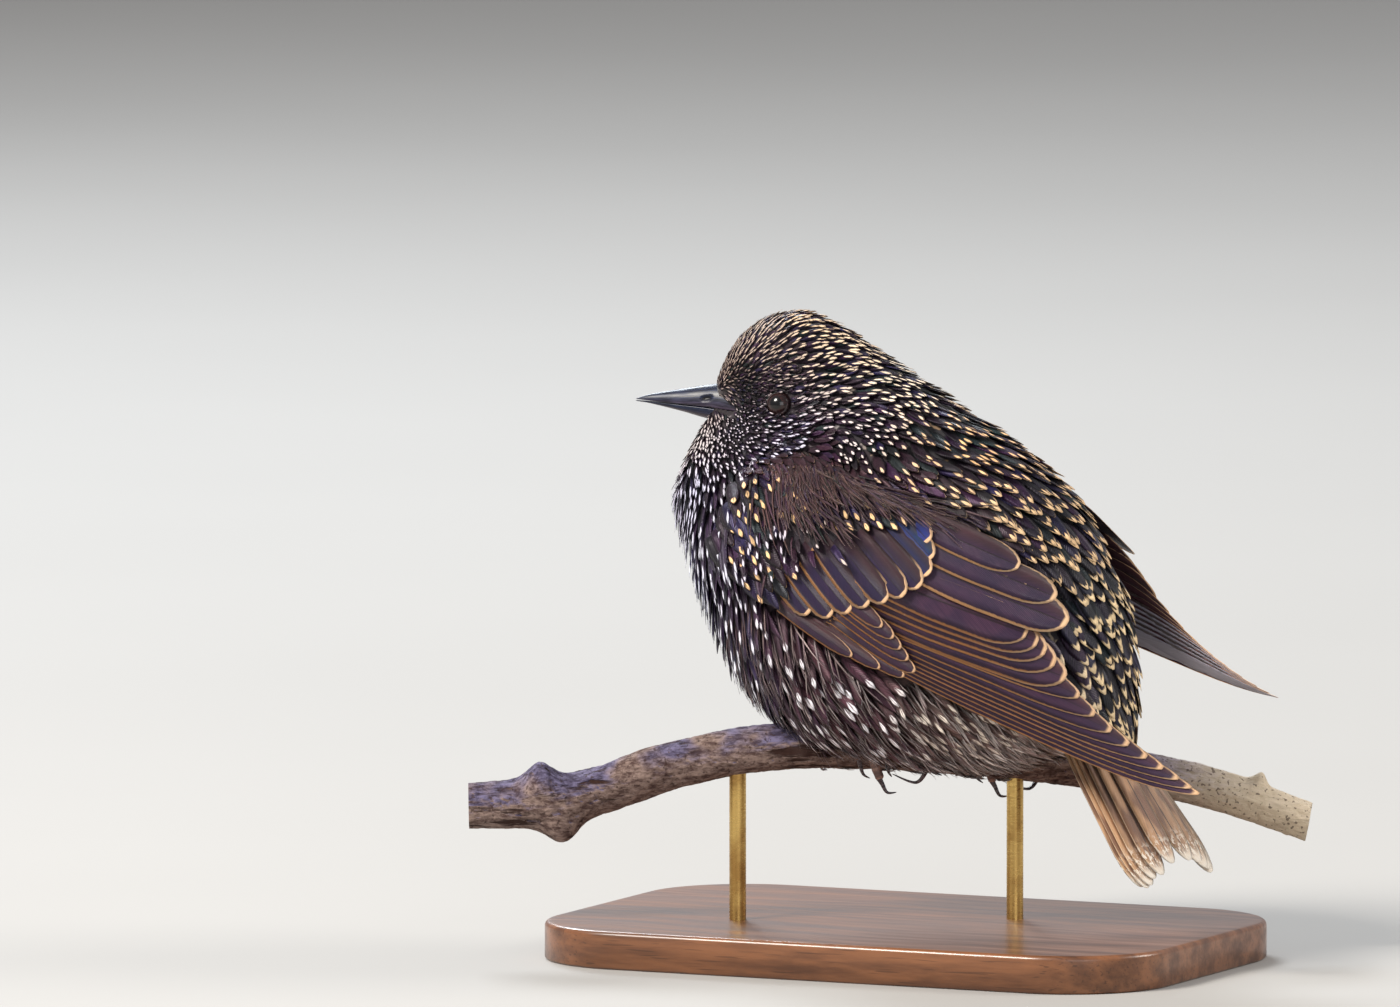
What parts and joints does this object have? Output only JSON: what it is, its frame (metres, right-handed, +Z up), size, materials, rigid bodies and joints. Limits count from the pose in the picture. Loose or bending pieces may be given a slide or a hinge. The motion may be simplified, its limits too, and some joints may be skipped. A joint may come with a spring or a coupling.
{
  "type": "starling display model",
  "caption": "Life-size starling in spotted winter plumage, fluffed up on a cut branch, held over a flat base by short rods.",
  "frame": {"origin": "centre of the base's underside", "axes": "+Z up; the bird faces -X and its own left side is -Y"},
  "size_m": [0.1869, 0.1049, 0.1537],
  "materials": {
    "body_plumage": "dark iridescent feathers with pale tips",
    "wing_plumage": "purple-brown flight feathers with buff edges",
    "tail_plumage": "warm brown tail feathers with dark shafts",
    "bill_horn": "dark glossy horn",
    "eye": "dark brown glossy",
    "leg_scales": "scaly skin",
    "claw_horn": "dark horn",
    "bark": "grey-brown cracked bark",
    "stand_wood": "satin varnish",
    "stand_brass": "brushed"
  },
  "bodies": {
    "root": {"stand_base": "stand_wood", "stand_rod_1": "stand_brass", "stand_rod_2": "stand_brass", "perch": "bark", "head": "body_plumage", "neck": "body_plumage", "torso": "body_plumage", "wing_left": "wing_plumage", "wing_right": "wing_plumage", "tail": "tail_plumage", "bill_upper": "bill_horn", "bill_lower": "bill_horn", "eye_left": "eye", "eye_right": "eye", "leg_left": "leg_scales", "leg_right": "leg_scales", "claw_left_inner": "claw_horn", "claw_left_middle": "claw_horn", "claw_left_outer": "claw_horn", "claw_left_hallux": "claw_horn", "claw_right_inner": "claw_horn", "claw_right_middle": "claw_horn", "claw_right_outer": "claw_horn", "claw_right_hallux": "claw_horn"}
  },
  "joints": []
}
